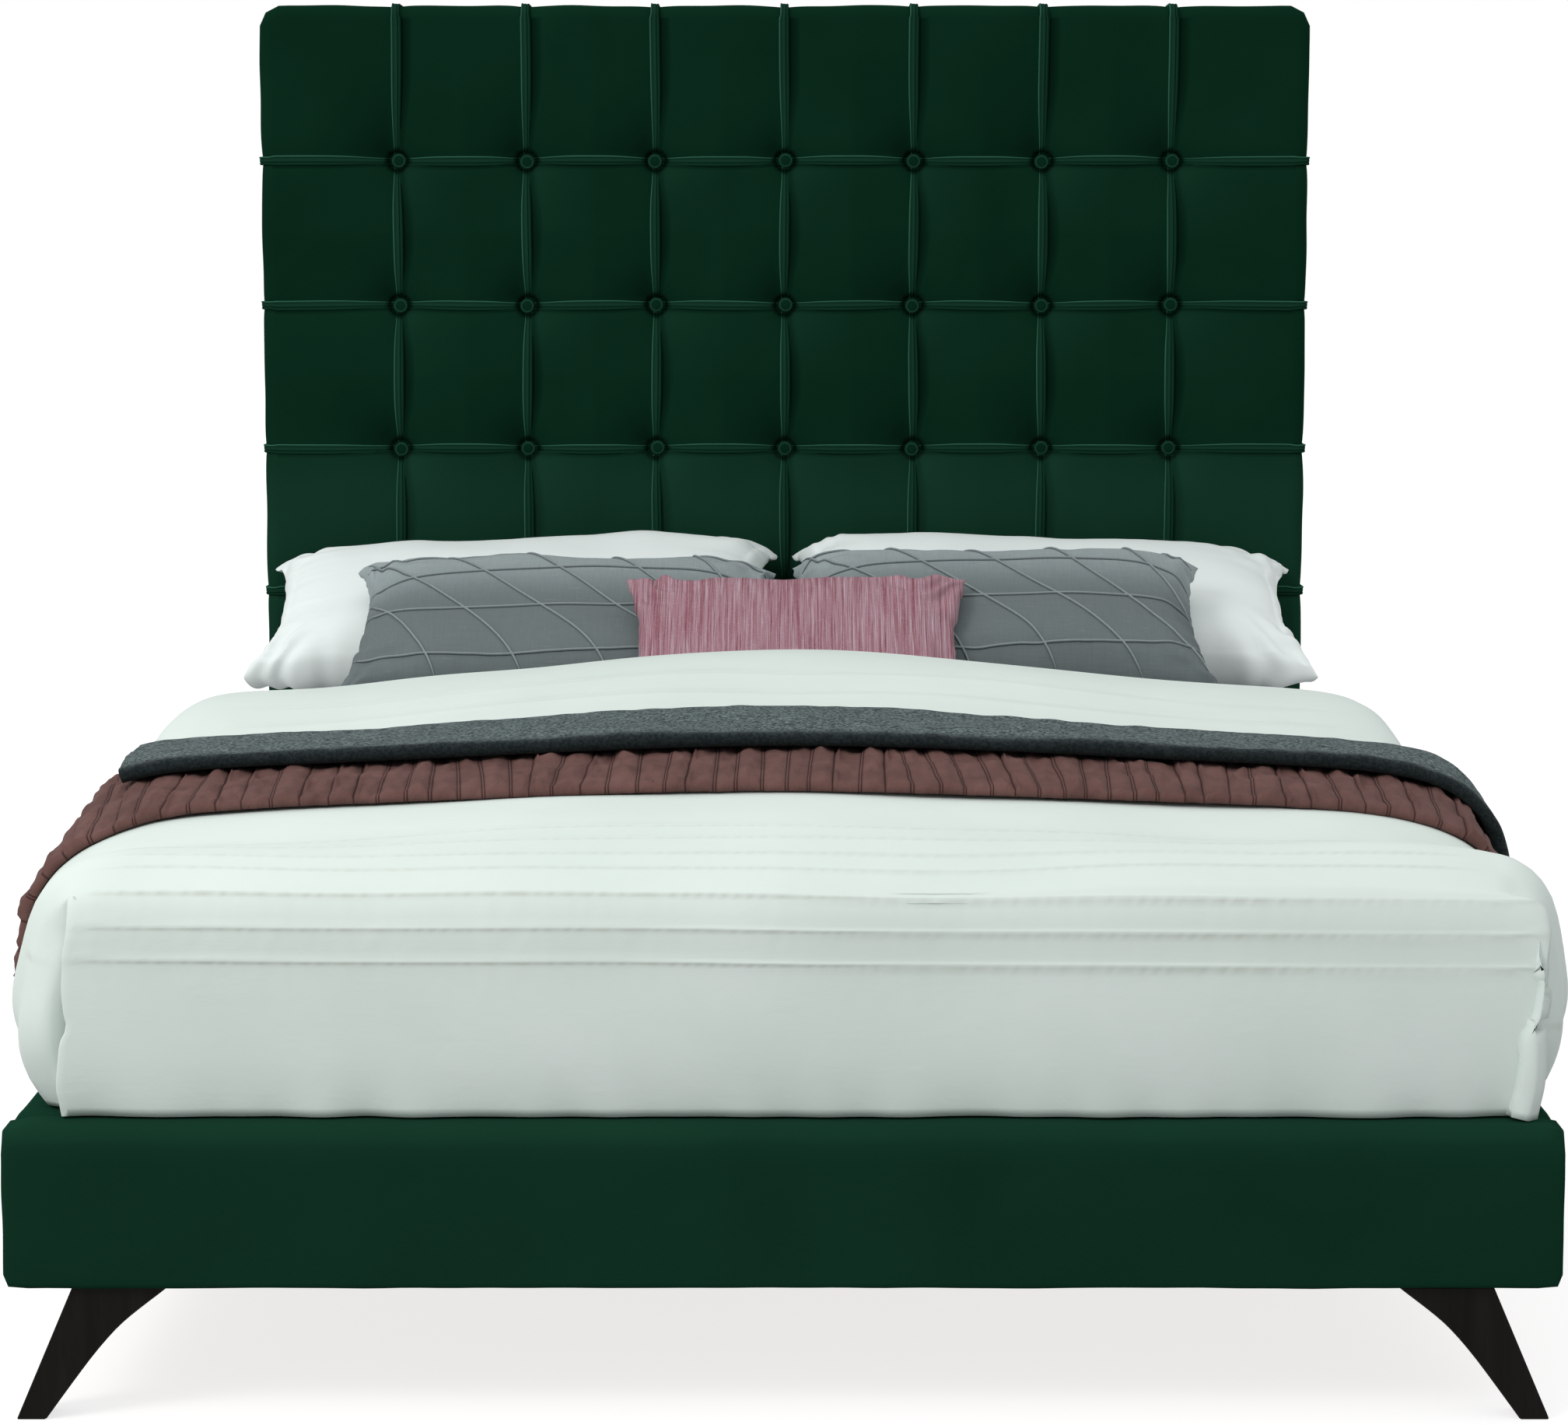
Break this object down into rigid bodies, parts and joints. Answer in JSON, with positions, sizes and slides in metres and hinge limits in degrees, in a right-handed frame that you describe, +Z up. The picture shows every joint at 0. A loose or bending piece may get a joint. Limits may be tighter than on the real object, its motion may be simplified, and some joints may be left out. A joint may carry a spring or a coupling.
{
  "type": "upholstered headboard bed",
  "caption": "Bed with a tall biscuit-tufted padded headboard, low padded rails, splayed blade legs, a slatted base and made-up bedding.",
  "frame": {"origin": "centre of the bed's footprint box, on the floor", "axes": "+X to the right seen from the foot, +Y from the foot towards the headboard, +Z up"},
  "size_m": [1.7496, 2.2, 1.61],
  "materials": {
    "green_velvet": "short-pile cotton velvet over foam",
    "plywood": "raw birch plywood",
    "pine": "planed softwood",
    "dust_cover": "black non-woven backing cloth",
    "espresso_wood": "near-black espresso stain, satin lacquer",
    "steel": "zinc plated",
    "black_nylon": "moulded nylon",
    "ticking": "woven mattress ticking",
    "grey_sheeting": "plain woven sheeting",
    "white_cotton": "washed white cotton",
    "grey_linen": "slubby grey linen with pin tucks",
    "rose_stripe": "yarn-dyed rose stripe",
    "mauve_cotton": "ruched dusty mauve cotton",
    "charcoal_wool": "brushed charcoal wool"
  },
  "bodies": {
    "frame": {"headboard_pad": "green_velvet", "footboard_cover": "green_velvet", "side_rail_left_cover": "green_velvet", "side_rail_right_cover": "green_velvet", "tuft_row_1": "green_velvet", "tuft_row_2": "green_velvet", "tuft_row_3": "green_velvet", "tuft_row_4": "green_velvet", "headboard_panel": "plywood", "footboard_core": "plywood", "side_rail_left_core": "plywood", "side_rail_right_core": "plywood", "headboard_post_left": "pine", "headboard_post_right": "pine", "headboard_cross_rail_top": "pine", "headboard_cross_rail_middle": "pine", "headboard_cross_rail_bottom": "pine", "slat_ledge_left": "pine", "slat_ledge_right": "pine", "centre_beam": "pine", "centre_leg_1": "pine", "centre_leg_2": "pine", "centre_leg_3": "pine", "slat_1": "pine", "slat_2": "pine", "slat_3": "pine", "slat_4": "pine", "slat_5": "pine", "slat_6": "pine", "slat_7": "pine", "slat_8": "pine", "slat_9": "pine", "slat_10": "pine", "slat_11": "pine", "slat_12": "pine", "headboard_dust_cover": "dust_cover", "front_leg_left": "espresso_wood", "front_leg_right": "espresso_wood", "rear_leg_left": "espresso_wood", "rear_leg_right": "espresso_wood", "beam_hanger_foot": "steel", "beam_hanger_head": "steel", "corner_bracket_foot_left": "steel", "corner_bracket_foot_right": "steel", "corner_bracket_head_left": "steel", "corner_bracket_head_right": "steel"},
    "glide_1": {"levelling_glide_1": "black_nylon"},
    "glide_2": {"levelling_glide_2": "black_nylon"},
    "glide_3": {"levelling_glide_3": "black_nylon"},
    "made_mattress": {"mattress": "ticking", "fitted_sheet": "grey_sheeting", "duvet": "white_cotton", "mauve_blanket": "mauve_cotton", "charcoal_throw": "charcoal_wool"},
    "pillows": {"white_pillow_left": "white_cotton", "white_pillow_right": "white_cotton", "grey_pillow_left": "grey_linen", "grey_pillow_right": "grey_linen"},
    "lumbar": {"lumbar_pillow": "rose_stripe"}
  },
  "joints": [
    {"name": "mattress_lift", "type": "slide", "parent": "frame", "child": "made_mattress", "axis": [0, 0, 1], "range_m": [0, 0.35]},
    {"name": "pillows_lift", "type": "slide", "parent": "made_mattress", "child": "pillows", "axis": [0, 0, 1], "range_m": [0, 0.3]},
    {"name": "lumbar_pillow_lift", "type": "slide", "parent": "pillows", "child": "lumbar", "axis": [0, 0, 1], "range_m": [0, 0.25]},
    {"name": "glide_1_adjust", "type": "slide", "parent": "frame", "child": "glide_1", "axis": [0, 0, -1], "range_m": [0, 0.02]},
    {"name": "glide_2_adjust", "type": "slide", "parent": "frame", "child": "glide_2", "axis": [0, 0, -1], "range_m": [0, 0.02]},
    {"name": "glide_3_adjust", "type": "slide", "parent": "frame", "child": "glide_3", "axis": [0, 0, -1], "range_m": [0, 0.02]}
  ]
}
